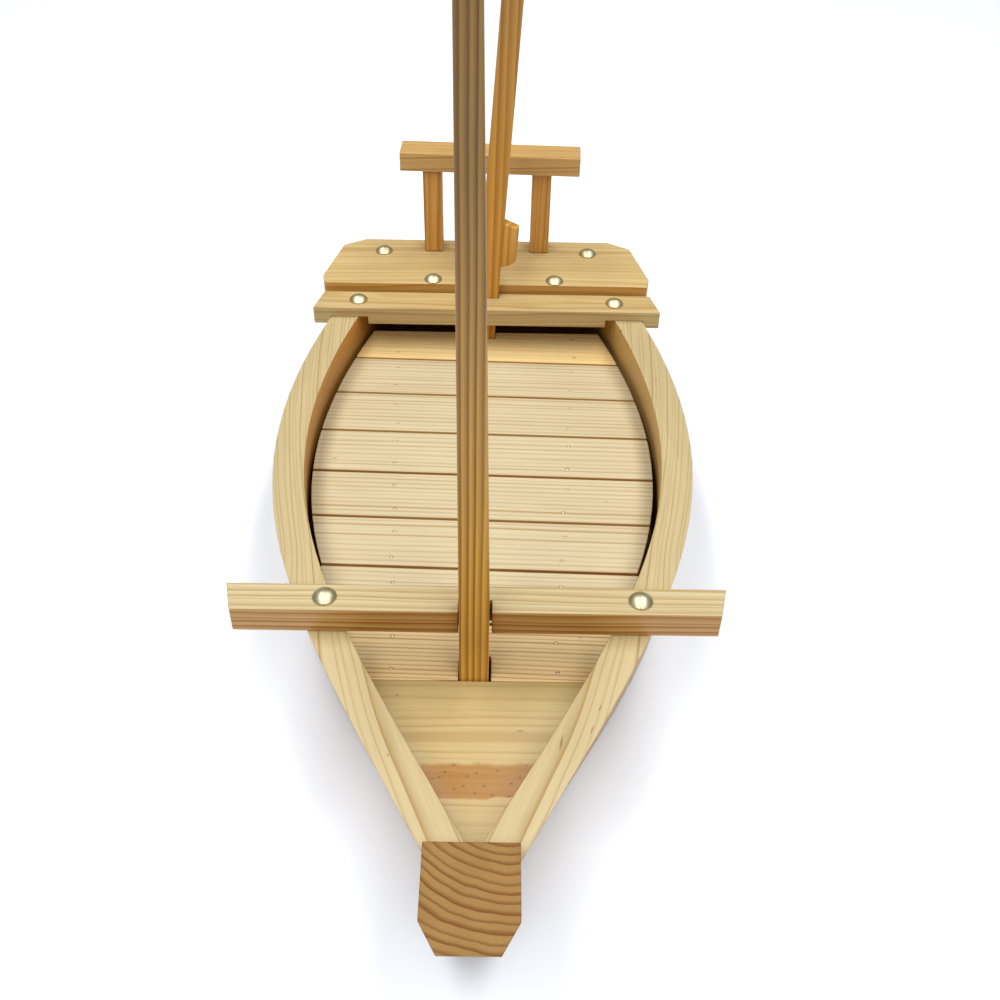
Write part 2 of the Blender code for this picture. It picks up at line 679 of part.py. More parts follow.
def nail_mesh():
    """Half profile of a domed nail, from its crown down to its point."""
    radius = NAIL_HEAD_DIAMETER / 2
    shank = NAIL_SHANK_DIAMETER / 2
    profile = []
    for i in range(NAIL_DOME_STEPS + 1):
        angle = math.pi / 2 * i / NAIL_DOME_STEPS
        profile.append((radius * math.sin(angle), NAIL_HEAD_HEIGHT * math.cos(angle)))
    profile += [(shank, 0), (shank, NAIL_POINT - NAIL_LENGTH), (0, -NAIL_LENGTH)]
    bm = bmesh.new()
    verts = [bm.verts.new((x, 0, z)) for x, z in profile]
    for pair in zip(verts, verts[1:]):
        bm.edges.new(pair)
    mesh = bpy.data.meshes.new("dome_nail")
    bm.to_mesh(mesh)
    bm.free()
    return mesh


def make_nail(name, mesh, place, drilled):
    """One nail with its head on the wood, and its hole in each piece that it goes through."""
    nail = add_part(name, mesh, "nickel", ease=0, location=place)
    screw = nail.modifiers.new("turned", "SCREW")
    screw.steps = screw.render_steps = ROUND_SEGMENTS
    screw.use_merge_vertices = True
    screw.merge_threshold = WELD
    screw.use_smooth_shade = True
    diameter = NAIL_SHANK_DIAMETER + 2 * SEAT_GAP
    hole = rod_mesh(f"{name}_hole", diameter, -NAIL_LENGTH - SEAT_GAP, NAIL_HEAD_HEIGHT)
    cutter = add_cutter(hole.name, hole, place)
    for part in drilled:
        combine(part, cutter)


def make_nails(planks, front_beam, rear_beam, stern_deck, stern_bearer):
    """Nails through the beams and the stern deck, into the planks and the stern bearer."""
    mesh = nail_mesh()
    rows = [
        ("front", (FRONT_BEAM_FRONT + FRONT_BEAM_BACK) / 2, FRONT_BEAM_TOP, FRONT_NAIL_INSET, front_beam),
        ("rear", (REAR_BEAM_FRONT + REAR_BEAM_BACK) / 2, REAR_BEAM_TOP, REAR_NAIL_INSET, rear_beam),
        ("aft", HULL_STERN - AFT_NAIL_FROM_END, STERN_DECK_TOP, AFT_NAIL_INSET, stern_deck),
    ]
    deck_y = STERN_DECK_FACE + STERN_BEARER_WIDTH / 2
    for side, sign in SIDES:
        for row, y, top, inset, board in rows:
            x = sign * half_breadth(y, HULL_HEIGHT, PLANK_THICKNESS - inset[side])
            make_nail(f"{side}_{row}_nail", mesh, (x, y, top + SEAT_GAP), (board, planks[side]))
        place = (DECK_NAIL_OFFSET + sign * DECK_NAIL_SPACING / 2, deck_y, STERN_DECK_TOP + SEAT_GAP)
        make_nail(f"{side}_deck_nail", mesh, place, (stern_deck, stern_bearer))


make_stem()
STEM_SEAT = stem_seat()
SIDE_PLANKS = {side: make_side(f"{side}_side", sign, STEM_SEAT) for side, sign in SIDES}
make_hull_boards()
make_deck()
FRONT_BEAM = make_front_beam()
REAR_BEAM = make_rear_beam()
STERN_DECK = make_stern_deck()
STERN_BEARER = make_stern_bearer()
make_gate(STERN_DECK)
make_mast()
make_mast_step()
make_oar()
make_nails(SIDE_PLANKS, FRONT_BEAM, REAR_BEAM, STERN_DECK, STERN_BEARER)
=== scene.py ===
"""Looks of the sushi boat: lacquered pine, plated brass nails and a white studio."""

import math
import random

import bmesh
import bpy
from bpy.props import FloatProperty, FloatVectorProperty, PointerProperty
from mathutils import Matrix, Vector


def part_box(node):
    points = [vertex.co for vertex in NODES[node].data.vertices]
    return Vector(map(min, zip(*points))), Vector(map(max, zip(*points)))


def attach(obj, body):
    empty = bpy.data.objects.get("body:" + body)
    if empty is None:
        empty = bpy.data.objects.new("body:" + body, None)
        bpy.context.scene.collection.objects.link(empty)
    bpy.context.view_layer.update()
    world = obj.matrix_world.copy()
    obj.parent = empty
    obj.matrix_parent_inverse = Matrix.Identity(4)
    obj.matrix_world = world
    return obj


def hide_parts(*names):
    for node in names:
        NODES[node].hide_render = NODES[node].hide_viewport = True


bl_info = {
    "name": "Sushi boat looks",
    "version": (1, 0, 0),
    "blender": (4, 5, 0),
    "location": "3D View > Sidebar > Boat",
    "description": "Dresses the sushi boat's solids with pine, lacquer and plated nails",
    "category": "Object",
}

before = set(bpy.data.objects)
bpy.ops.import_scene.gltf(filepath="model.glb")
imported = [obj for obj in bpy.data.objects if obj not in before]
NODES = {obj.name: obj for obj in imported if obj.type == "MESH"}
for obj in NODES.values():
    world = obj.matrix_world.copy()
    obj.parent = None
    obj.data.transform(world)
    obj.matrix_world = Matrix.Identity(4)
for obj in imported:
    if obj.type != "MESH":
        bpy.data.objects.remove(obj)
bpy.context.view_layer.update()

SIDES = ("left", "right")
SLATS = sorted(name for name in NODES if name.startswith("deck_slat_"))
NAILS = sorted(name for name in NODES if name.endswith("_nail"))
DECK_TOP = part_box("deck_slat_1")[1].z
GUNWALE_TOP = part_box("left_side")[1].z
STEM_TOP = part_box("stem_post")[1].z
NAIL_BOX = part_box("left_front_nail")

WELD = 1e-6
FLAT_ANGLE = math.radians(0.5)
SHARP_ANGLE = math.radians(30)
ROUND_STEPS = 48
DOME_STEPS = 12
CROWN_STEPS = 4
BRAD_STEPS = 20
BRAD_SEED = 5

# Small lengths of the shapes, in metres
GLUE_REACH = 0.001
BRAD_LIFT = 0.00002
CUTTER_RISE = 0.001
FLOOR_DROP = 0.0002

# Foot of a dome nail's head, as a share of its rim
NAIL_UNDERCUT = 0.97

STEM_RAKE = math.radians(30)
OAR_LEAN = math.radians(3.67)

# A face is upright where its normal rises less than this
UPRIGHT_RISE = 0.5

# Painted shade on the planks' inner faces: the left one is browner than the right one, and both darken
# towards the deck
INSIDE_UPRIGHT_SHADE = {"left": 1.0, "right": 0.2}
INSIDE_DEPTH_SHADE = {"left": 0.58, "right": 0.75}
INSIDE_SHADE_TOP = GUNWALE_TOP - 0.002

# Painted shade: heights between which a piece darkens, and the share of its brightness that is left
MAST_HEIGHT_SHADE = (0.05, 0.30, 0.36)
OAR_HEIGHT_SHADE = (0.08, 0.30, 0.50)
REAR_SLAT_EDGE_SHADE = (DECK_TOP - 0.0004, DECK_TOP - 0.002, 0.4)

# The two foremost slats lie close against the planks: how much longer they are left and right
SLAT_REACH = {"deck_slat_1": (0.0016, 0.0024), "deck_slat_2": (0.0010, 0.0012)}

# Corners farther than this from the middle line are a slat's ends
SLAT_END = 0.03

# The fore board lies close too: how much wider it is left and right
FORE_REACH = (0.0007, 0.0004)

# Pine's own scales, in metres
WANDER_LENGTH = 0.16
WANDER_WIDTH = 0.022
FIBRE_LENGTH = 0.030
FIBRE_WIDTH = 0.0009
STREAK_WIDTH = 0.0022
TONE_LENGTH = 0.12
TONE_WIDTH = 0.016
GRAIN_RELIEF = 0.00006

# Most of a noise's values lie between these
NOISE_LOW = 0.3
NOISE_HIGH = 0.7

# Where the broad tone is lower than this, the wood has no honey colour
TONE_LOW = 0.35

# A ring line starts and grows full before its year ends, in shares of its width, then stops at LINE_END
LINE_START = 1.7
LINE_FULL = 0.45
LINE_END = 0.94

# Lean years come in runs of about two, and a wander is a quarter of the rings' full swing
LEAN_YEARS = 0.45
WANDER_SWING = 4

# Satin lacquer over the fibres
FIBRE_SHADE = (0.95, 1.04)
FIBRE_RELIEF = 0.5
RELIEF_STRENGTH = 0.5
LACQUER_ROUGHNESS = (0.38, 0.50)
LACQUER_IOR = 1.48

# Painted shade on upright faces: how far a face's normal rises where it still gets all of it, and where it
# gets none
SHADE_UPRIGHT = 0.3
SHADE_LEVEL = 0.8

# Specks: how far the dark core reaches, and how dark it is
SPECK_CORE = 0.2
SPECK_DARKNESS = 0.75

# Heartwood band across the fore board, and the pin knots in it
HEART_FRONT = -0.1620
HEART_REAR = -0.1420
HEART_SOFT_FRONT = 0.0012
HEART_SOFT_REAR = 0.0036
HEART_WAVE = 0.006
HEART_WAVES = 90
HEART_STRENGTH = 0.95
STREAK_FAINTEST = 0.85
KNOT_SPACE = 0.0055
KNOT_STRETCH = 0.65
KNOT_CORE = 0.03
KNOT_EDGE = 0.12
KNOT_DARKNESS = 0.9

# Plated metal: tumbling marks to the metre, their share of the plate's brightness, and roughness
TUMBLING_MARKS = 260
TUMBLING_SHADE = 0.92
NAIL_ROUGHNESS = (0.40, 0.46)
BRAD_ROUGHNESS = (0.38, 0.50)

SIDE_PITH = (0, 0.006, -0.004)

# Each slat comes from another place in its log: how far fore or aft the pith lies, and how deep
PITH_REACHES = (0.060, 0.111, 0.077, 0.128, 0.094)
PITH_DEPTHS = (0.020, 0.044, 0.032)

# So does each gate post: how far right of its middle and behind its front the pith lies
POST_PITH = {"left": 0.012, "right": -0.05}
POST_PITH_AFT = 0.03

# Faintest ring line of a slat, as a share of the darkest
SLAT_FAINTEST = 0.2
FRONT_SLAT_FAINTEST = 0.6

TABLE_ROUGHNESS = 0.8
SENSOR_WIDTH = 36.0
NEAREST_VIEW = 0.01

# Grain of the side planks: it follows about half of the hull's curve and fans out towards the bow
GRAIN_MIDDLE = 0.06
GRAIN_CURVE = 0.52
GRAIN_SLOPE = -0.14
FAN_CENTRE = 0.095
FAN_FROM = -0.12
FAN_TO = -0.03
FAN_SQUEEZE = 0.45


def srgb(code):
    """Linear colour of an sRGB hex code."""
    parts = [int(code[i : i + 2], 16) / 255 for i in (0, 2, 4)]
    return tuple(c / 12.92 if c <= 0.04045 else ((c + 0.055) / 1.055) ** 2.4 for c in parts)


def tint(name, description, code):
    """A colour setting whose default is an sRGB hex code."""
    return FloatVectorProperty(
        name=name, description=description, subtype="COLOR", size=3, min=0, max=1, default=srgb(code)
    )


def length(name, description, default):
    """A length setting in metres."""
    return FloatProperty(
        name=name, description=description, unit="LENGTH", min=0, precision=5, default=default
    )


class PineColours(bpy.types.PropertyGroup):
    """Colours of the boat's pine and nails."""

    side_early: tint("Side earlywood", "Pale wood between the side planks' rings", "B5A276")
    side_late: tint("Side latewood", "Ring lines of the side planks", "94753F")
    # Painted shade and warm bounce light: the planks' inner faces get a warmer, deeper copy of their wood
    inside_shaded_early: tint("Inside earlywood", "Pale wood of the planks' inner faces", "C6A464")
    inside_shaded_late: tint("Inside latewood", "Ring lines of the planks' inner faces", "B88E49")
    deck_early: tint("Deck earlywood", "Pale wood between the slats' rings", "BFB18E")
    deck_late: tint("Deck latewood", "Ring lines of the slats", "9C7D4F")
    # The foremost slat's own pinkish wood, partly made paler as painted light against the front beam's
    # shadow
    front_slat_early: tint("Front slat earlywood", "Pale wood of the foremost slat", "D2BA85")
    front_slat_late: tint("Front slat latewood", "Ring lines of the foremost slat", "A27A48")
    # Painted warm bounce light: the rearmost slat lies in the rear beam's shade, and its golden colour
    # stands in for the light there
    rear_slat_bounce_early: tint("Rear slat earlywood", "Golden wood of the rearmost slat", "E0C489")
    rear_slat_bounce_late: tint("Rear slat latewood", "Ring lines of the rearmost slat", "CFA862")
    fore_early: tint("Fore board earlywood", "Pale wood of the fore board", "AE9965")
    fore_late: tint("Fore board latewood", "Ring lines of the fore board", "9A7E47")
    heartwood: tint("Heartwood", "Reddish band across the fore board", "916119")
    pin_knot: tint("Pin knots", "Small dark knots and resin specks", "5E3314")
    beam_early: tint("Beam earlywood", "Pale wood of the front beam", "BBAB82")
    beam_late: tint("Beam latewood", "Ring lines of the front beam", "9D814D")
    rear_beam_early: tint("Rear beam earlywood", "Golden wood of the rear beam", "BAA16D")
    rear_beam_late: tint("Rear beam latewood", "Ring lines of the rear beam", "9B7639")
    stern_early: tint("Stern deck earlywood", "Pale wood of the stern deck", "BFA670")
    stern_late: tint("Stern deck latewood", "Ring lines of the stern deck", "A38049")
    gate_early: tint("Gate earlywood", "Wood of the gate's rail", "BC975A")
    gate_late: tint("Gate latewood", "Ring lines of the gate's rail", "986D35")
    post_early: tint("Post earlywood", "Wood of the gate's posts", "CA9A4D")
    post_late: tint("Post latewood", "Ring lines of the gate's posts", "A4702C")
    mast_early: tint("Mast earlywood", "Wood of the mast", "DEA744")
    mast_late: tint("Mast latewood", "Ring lines of the mast", "8F601E")
    oar_early: tint("Oar earlywood", "Pale streaks of the oar", "DAA040")
    oar_late: tint("Oar latewood", "Orange wood of the oar", "A6671A")
    stem_early: tint("Stem earlywood", "End grain between the stem's rings", "8D6C3B")
    stem_late: tint("Stem latewood", "Ring arcs on the stem's top", "6B4016")
    # Painted shade: warm, darker tints for upright faces and their ring lines
    upright_shade: tint("Amber", "Stain of the lacquer on upright faces", "FFDDA8")
    upright_line_shade: tint("Deep amber", "Stain of the lacquer on upright faces' ring lines", "E49F49")
    nail: tint("Nails", "Plated brass of the dome nails", "D2C79E")
    brad: tint("Brads", "Dull steel of the brads", "D2C6A4")


class PineRings(bpy.types.PropertyGroup):
    """Width of a year's ring in each group of pieces."""

    side: length("Side planks", "Ring width in the side planks", 0.0020)
    deck: length("Deck slats", "Ring width in the slats", 0.0032)
    front_slat: length("Front slat", "Ring width in the foremost slat", 0.0024)
    fore: length("Fore board", "Ring width in the fore board", 0.0045)
    beam: length("Beams", "Ring width in the cross beams", 0.0019)
    stern: length("Stern deck", "Ring width in the stern deck", 0.0036)
    gate: length("Gate", "Ring width in the gate", 0.0024)
    mast: length("Mast", "Ring width in the mast", 0.0028)
    oar: length("Oar", "Ring width in the oar", 0.0050)
    stem: length("Stem", "Ring width in the stem post", 0.0034)


class Fittings(bpy.types.PropertyGroup):
    """Sizes and places of the nails and brads."""

    nail_shank: length("Nail shank", "Diameter of a dome nail's shank", 0.0024)
    nail_rim: length("Nail rim", "Height of a dome nail's upright rim", 0.0004)
    nail_head: length("Nail head", "Height of a dome nail's head with its rim", 0.0030)
    glue_gap: length("Glue gap", "Gap that the glue closes beside the oar", 0.0005)
    brad_head: length("Brad head", "Diameter of a brad's head", 0.0017)
    brad_crown: length("Brad crown", "Height of a brad's domed head", 0.0005)
    brad_shank: length("Brad shank", "Diameter of a brad's shank", 0.0009)
    brad_length: length("Brad length", "Length of a brad below its head", 0.016)
    dimple: length("Dimple", "Diameter of the dimple round a brad", 0.0024)
    dimple_depth: length("Dimple depth", "Depth of the dimple round a brad", 0.0004)
    brad_first: length("First brads", "From the deck's front edge to the first four brads' middle", 0.0152)
    brad_pitch: length("Brad pitch", "From one slat's brads to the next slat's", 0.0375)
    brad_spacing: length("Brad spacing", "Between a slat's front and rear brads", 0.0194)
    brad_slip: length("Brad slip", "How far a brad may stand out of line", 0.0009)
    left_row_front: length("Left row, front", "Left brads to the middle line at the front", 0.0410)
    left_row_rear: length("Left row, rear", "Left brads to the middle line at the rear", 0.0580)
    right_row_front: length("Right row, front", "Right brads to the middle line at the front", 0.0360)
    right_row_rear: length("Right row, rear", "Right brads to the middle line at the rear", 0.0570)
    brad_skew: FloatProperty(
        name="Brad skew", description="Turn of each slat's brads, as its edges", subtype="ANGLE",
        default=math.radians(1.5),
    )


class Studio(bpy.types.PropertyGroup):
    """Floor, lights and camera."""

    floor_size: length("Floor", "Side of the square floor", 12.0)
    floor_colour: tint("Floor colour", "Cool white of the table", "ECF1F8")
    light_length: length("Softbox length", "Length of each softbox, along the boat", 4.0)
    light_width: length("Softbox width", "Width of each softbox", 0.6)
    light_height: length("Softbox height", "Height of the softboxes over the table", 2.1)
    light_apart: length("Softbox spacing", "Distance between the two softboxes", 1.5)
    light_ahead: length("Softbox setting", "How far the softboxes stand ahead of the boat's middle", 0.6)
    light_power: FloatProperty(
        name="Softbox power", description="Power of each softbox", unit="POWER", default=57.5
    )
    sky: FloatProperty(name="Room light", description="Strength of the light all round", default=0.2)
    sky_colour: tint("Room light colour", "Cool white of the room", "E8F1FF")
    lens: FloatProperty(
        name="Lens", description="Focal length on a 36 mm sensor", unit="CAMERA", default=41.12
    )
    camera_place: FloatVectorProperty(
        name="Camera place", description="Where the camera stands", subtype="XYZ", unit="LENGTH",
        default=(0.00457, -0.44255, 0.46426),
    )
    camera_pitch: FloatProperty(
        name="Camera pitch", description="How far the camera looks down", subtype="ANGLE",
        default=math.radians(41.39),
    )
    camera_yaw: FloatProperty(
        name="Camera yaw", description="How far the camera is turned to the left", subtype="ANGLE",
        default=math.radians(-0.5865),
    )
    camera_roll: FloatProperty(
        name="Camera roll", description="How far the camera is tilted", subtype="ANGLE",
        default=math.radians(1.27),
    )


class BoatLooks(bpy.types.PropertyGroup):
    """All settings of the boat's looks."""

    colours: PointerProperty(type=PineColours, name="Colours", description="Colours of wood and nails")
    rings: PointerProperty(type=PineRings, name="Rings", description="Ring widths of the wood")
    fittings: PointerProperty(type=Fittings, name="Fittings", description="Sizes of nails and brads")
    studio: PointerProperty(type=Studio, name="Studio", description="Floor, lights and camera")


def add(tree, kind, inputs, **settings):
    """A shader node with its settings; an input takes a value or another node's output."""
    node = tree.nodes.new("ShaderNode" + kind)
    for key, value in settings.items():
        setattr(node, key, value)
    for key, value in inputs.items():
        if isinstance(value, bpy.types.NodeSocket):
            tree.links.new(value, node.inputs[key])
        else:
            node.inputs[key].default_value = value
    return node


def new_material(name):
    """A material with nothing in it but a Principled shader."""
    material = bpy.data.materials.new(name)
    material.use_nodes = True
    return material, material.node_tree, material.node_tree.nodes["Principled BSDF"]


def side_grain(tree, place):
    """Coordinates along, across and up the grain of the side planks."""
    parts = add(tree, "SeparateXYZ", {0: place})
    along = parts.outputs[1]
    out = add(tree, "Math", {0: parts.outputs[0]}, operation="ABSOLUTE")
    aft = add(tree, "Math", {0: along, 1: GRAIN_MIDDLE}, operation="SUBTRACT")
    square = add(tree, "Math", {0: aft.outputs[0], 1: aft.outputs[0]}, operation="MULTIPLY")
    bent = {0: square.outputs[0], 1: GRAIN_CURVE, 2: out.outputs[0]}
    curve = add(tree, "Math", bent, operation="MULTIPLY_ADD")
    leant = {0: aft.outputs[0], 1: GRAIN_SLOPE, 2: curve.outputs[0]}
    across = add(tree, "Math", leant, operation="MULTIPLY_ADD")
    fan_range = {0: along, 1: FAN_FROM, 2: FAN_TO, 3: FAN_SQUEEZE, 4: 1.0}
    fan = add(tree, "MapRange", fan_range, interpolation_type="SMOOTHSTEP")
    centred = add(tree, "Math", {0: across.outputs[0], 1: FAN_CENTRE}, operation="SUBTRACT")
    spread = {0: centred.outputs[0], 1: fan.outputs[0], 2: FAN_CENTRE}
    fanned = add(tree, "Math", spread, operation="MULTIPLY_ADD")
    joined = add(tree, "CombineXYZ", {0: along, 1: fanned.outputs[0], 2: parts.outputs[2]})
    return joined.outputs[0]


def pine(
    name, early, late, ring, along, pith,
    wander=0.0010, share=0.38, faintest=0.2, spread=1.6, honey=0.25, curved=False, marks=(), heart=False,
    upright_shading=1.0, height_shade=None, shine=0.5,
):
    """Sawn pine under satin lacquer: rings about a pith line, so faces show lines and ends show arcs."""
    material, tree, shader = new_material(name)
    colours = bpy.context.scene.boat.colours
    coords = add(tree, "TexCoord", {})
    place = coords.outputs["Object"]
    start = side_grain(tree, place) if curved else place
    turn = Vector(along).to_track_quat("X", "Z").to_euler()
    log = add(tree, "Mapping", {0: start, 1: pith, 2: turn}, vector_type="TEXTURE").outputs[0]

    # The rings wander slowly along the trunk
    slow_scale = (1 / WANDER_LENGTH, 1 / WANDER_WIDTH, 1 / WANDER_WIDTH)
    slow = add(tree, "Mapping", {0: log, 3: slow_scale})
    drift = add(tree, "TexNoise", {"Vector": slow.outputs[0], "Scale": 1, "Detail": 2})
    off_middle = {0: drift.outputs["Color"], 1: (0.5, 0.5, 0.5)}
    centred = add(tree, "VectorMath", off_middle, operation="SUBTRACT")
    swing = (0, WANDER_SWING * wander, WANDER_SWING * wander)
    warped = add(tree, "VectorMath", {0: centred.outputs[0], 1: swing, 2: log}, operation="MULTIPLY_ADD")
    across = add(tree, "VectorMath", {0: warped.outputs[0], 1: (0, 1, 1)}, operation="MULTIPLY")
    radius = add(tree, "VectorMath", {0: across.outputs[0]}, operation="LENGTH").outputs["Value"]

    # Wide and narrow years, each with its own darkness
    even = add(tree, "Math", {0: radius, 1: ring}, operation="DIVIDE").outputs[0]
    lean_years = add(tree, "TexNoise", {"W": even, "Scale": LEAN_YEARS, "Detail": 1}, noise_dimensions="1D")
    uneven = {0: lean_years.outputs[0], 1: spread, 2: even}
    years = add(tree, "Math", uneven, operation="MULTIPLY_ADD").outputs[0]
    year = add(tree, "Math", {0: years}, operation="FLOOR")
    season = add(tree, "Math", {0: years}, operation="FRACT")
    profile = add(tree, "ValToRGB", {0: season.outputs[0]})
    ramp = profile.color_ramp.elements
    ramp[0].position = 1 - LINE_START * share
    ramp[0].color = (0, 0, 0, 1)
    ramp[1].position = 1 - LINE_FULL * share
    ramp[1].color = (1, 1, 1, 1)
    ramp.new(LINE_END).color = (1, 1, 1, 1)
    ramp.new(1.0).color = (0, 0, 0, 1)
    chance = add(tree, "TexWhiteNoise", {"W": year.outputs[0]}, noise_dimensions="1D")
    darkness = add(tree, "MapRange", {0: chance.outputs[0], 3: faintest, 4: 1.0})
    late_mask = add(tree, "Math", {0: profile.outputs[0], 1: darkness.outputs[0]}, operation="MULTIPLY")

    # Fibres are drawn coarser than real ones, so that they show
    fibre_scale = (1 / FIBRE_LENGTH, 1 / FIBRE_WIDTH, 1 / FIBRE_WIDTH)
    fine = add(tree, "Mapping", {0: log, 3: fibre_scale})
    fibre = add(tree, "TexNoise", {"Vector": fine.outputs[0], "Scale": 1, "Detail": 2}).outputs[0]
    tone_scale = (1 / TONE_LENGTH, 1 / TONE_WIDTH, 1 / TONE_WIDTH)
    broad = add(tree, "Mapping", {0: log, 3: tone_scale})
    tone = add(tree, "TexNoise", {"Vector": broad.outputs[0], "Scale": 1, "Detail": 1}).outputs[0]

    glow = add(tree, "MapRange", {0: tone, 1: TONE_LOW, 2: NOISE_HIGH, 3: 0.0, 4: honey})
    pale = {0: glow.outputs[0], 6: (*early, 1), 7: (*late, 1)}
    body = add(tree, "Mix", pale, data_type="RGBA").outputs[2]
    lined = {0: late_mask.outputs[0], 6: body, 7: (*late, 1)}
    wood = add(tree, "Mix", lined, data_type="RGBA").outputs[2]
    if heart:
        wood = heart_band(tree, place, wood, colours)
    darkest, palest = FIBRE_SHADE
    shade = add(tree, "MapRange", {0: fibre, 1: NOISE_LOW, 2: NOISE_HIGH, 3: darkest, 4: palest})
    brushed = {0: 1.0, 6: wood, 7: shade.outputs[0]}
    wood = add(tree, "Mix", brushed, data_type="RGBA", blend_type="MULTIPLY").outputs[2]

    # Painted shade: upright faces are tinted darker and warmer, ring lines most of all
    facing = add(tree, "SeparateXYZ", {0: coords.outputs["Normal"]})
    rising = {0: facing.outputs[2], 1: SHADE_UPRIGHT, 2: SHADE_LEVEL, 3: upright_shading, 4: 0.0}
    upright = add(tree, "MapRange", rising)
    shade_lines = {0: late_mask.outputs[0], 6: (*colours.upright_shade, 1), 7: (*colours.upright_line_shade, 1)}
    shade_tint = add(tree, "Mix", shade_lines, data_type="RGBA").outputs[2]
    shaded = {0: upright.outputs[0], 6: wood, 7: shade_tint}
    wood = add(tree, "Mix", shaded, data_type="RGBA", blend_type="MULTIPLY").outputs[2]
    # Painted shade: the piece darkens between two heights
    if height_shade:
        low, high, share_left = height_shade
        height = add(tree, "SeparateXYZ", {0: place})
        dim = add(tree, "MapRange", {0: height.outputs[2], 1: low, 2: high, 3: 1.0, 4: share_left})
        darker = {0: 1.0, 6: wood, 7: dim.outputs[0]}
        wood = add(tree, "Mix", darker, data_type="RGBA", blend_type="MULTIPLY").outputs[2]
    for x, y, z, half_long, half_wide, angle in marks:
        spot = {0: place, 1: (x, y, z), 2: (0, 0, math.radians(angle))}
        spot[3] = (half_wide, half_long, half_wide * 2)
        near = add(tree, "Mapping", spot, vector_type="TEXTURE")
        reach = add(tree, "VectorMath", {0: near.outputs[0]}, operation="LENGTH").outputs["Value"]
        fleck = add(tree, "MapRange", {0: reach, 1: SPECK_CORE, 2: 1.0, 3: SPECK_DARKNESS, 4: 0.0})
        spotted = {0: fleck.outputs[0], 6: wood, 7: (*colours.pin_knot, 1)}
        wood = add(tree, "Mix", spotted, data_type="RGBA").outputs[2]

    smoothest, roughest = LACQUER_ROUGHNESS
    gloss = add(tree, "MapRange", {0: fibre, 1: NOISE_LOW, 2: NOISE_HIGH, 3: smoothest, 4: roughest})
    raised = {0: fibre, 1: FIBRE_RELIEF, 2: late_mask.outputs[0]}
    relief = add(tree, "Math", raised, operation="MULTIPLY_ADD").outputs[0]
    bump = add(tree, "Bump", {"Strength": RELIEF_STRENGTH, "Distance": GRAIN_RELIEF, "Height": relief})
    tree.links.new(wood, shader.inputs["Base Color"])
    tree.links.new(gloss.outputs[0], shader.inputs["Roughness"])
    tree.links.new(bump.outputs[0], shader.inputs["Normal"])
    shader.inputs["IOR"].default_value = LACQUER_IOR
    shader.inputs["Specular IOR Level"].default_value = shine
    return material


def heart_band(tree, place, body, colours):
    """Reddish heartwood between two lines across the board, streaked and dotted with pin knots."""
    parts = add(tree, "SeparateXYZ", {0: place})
    wave = add(tree, "TexNoise", {"Vector": place, "Scale": HEART_WAVES, "Detail": 2})
    waved = {0: wave.outputs[0], 1: HEART_WAVE, 2: parts.outputs[1]}
    edge = add(tree, "Math", waved, operation="MULTIPLY_ADD").outputs[0]
    enter_range = {0: edge, 1: HEART_FRONT, 2: HEART_FRONT + HEART_SOFT_FRONT}
    enter = add(tree, "MapRange", enter_range, interpolation_type="SMOOTHSTEP")
    leave_range = {0: edge, 1: HEART_REAR, 2: HEART_REAR - HEART_SOFT_REAR, 3: 0.0, 4: HEART_STRENGTH}
    leave = add(tree, "MapRange", leave_range, interpolation_type="SMOOTHSTEP")
    inside = {0: enter.outputs[0], 1: leave.outputs[0]}
    band = add(tree, "Math", inside, operation="MULTIPLY").outputs[0]
    long_streaks = add(tree, "Mapping", {0: place, 3: (1 / FIBRE_LENGTH, 1 / STREAK_WIDTH, 1)})
    streaks = add(tree, "TexNoise", {"Vector": long_streaks.outputs[0], "Scale": 1, "Detail": 2})
    streaked = {0: streaks.outputs[0], 1: NOISE_LOW, 2: NOISE_HIGH, 3: STREAK_FAINTEST, 4: 1.0}
    depth = add(tree, "MapRange", streaked)
    deep = add(tree, "Math", {0: depth.outputs[0], 1: band}, operation="MULTIPLY").outputs[0]
    reddened = {0: deep, 6: body, 7: (*colours.heartwood, 1)}
    red = add(tree, "Mix", reddened, data_type="RGBA").outputs[2]
    cells = add(tree, "Mapping", {0: place, 3: (KNOT_STRETCH / KNOT_SPACE, 1 / KNOT_SPACE, 0)})
    dots = add(tree, "TexVoronoi", {"Vector": cells.outputs[0], "Scale": 1}, voronoi_dimensions="2D")
    dot_range = {0: dots.outputs["Distance"], 1: KNOT_CORE, 2: KNOT_EDGE, 3: KNOT_DARKNESS, 4: 0.0}
    dot = add(tree, "MapRange", dot_range)
    knots = add(tree, "Math", {0: dot.outputs[0], 1: band}, operation="MULTIPLY").outputs[0]
    knotty = {0: knots, 6: red, 7: (*colours.pin_knot, 1)}
    return add(tree, "Mix", knotty, data_type="RGBA").outputs[2]


def plated_metal(name, colour, roughness):
    """Stamped and plated metal: a pale mirror with faint tumbling marks."""
    material, tree, shader = new_material(name)
    place = add(tree, "TexCoord", {}).outputs["Object"]
    marks = add(tree, "TexNoise", {"Vector": place, "Scale": TUMBLING_MARKS, "Detail": 1}).outputs[0]
    smoothest, roughest = roughness
    gloss = add(tree, "MapRange", {0: marks, 1: NOISE_LOW, 2: NOISE_HIGH, 3: smoothest, 4: roughest})
    worn = [TUMBLING_SHADE * c for c in colour]
    plate = add(tree, "Mix", {0: marks, 6: (*colour, 1), 7: (*worn, 1)}, data_type="RGBA").outputs[2]
    tree.links.new(plate, shader.inputs["Base Color"])
    tree.links.new(gloss.outputs[0], shader.inputs["Roughness"])
    shader.inputs["Metallic"].default_value = 1.0
    return material


def dress(node, material):
    """Gives a node that stays in view its finish."""
    for slot in NODES[node].material_slots:
        slot.material = material


def new_piece(name, mesh, material, nodes=(), body="hull"):
    """A piece on a body with its finish, which stands for the nodes it is given."""
    piece = bpy.data.objects.new(name, mesh)
    bpy.context.scene.collection.objects.link(piece)
    mesh.materials.clear()
    mesh.materials.append(material)
    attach(piece, body)
    if nodes:
        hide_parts(*nodes)
    return piece


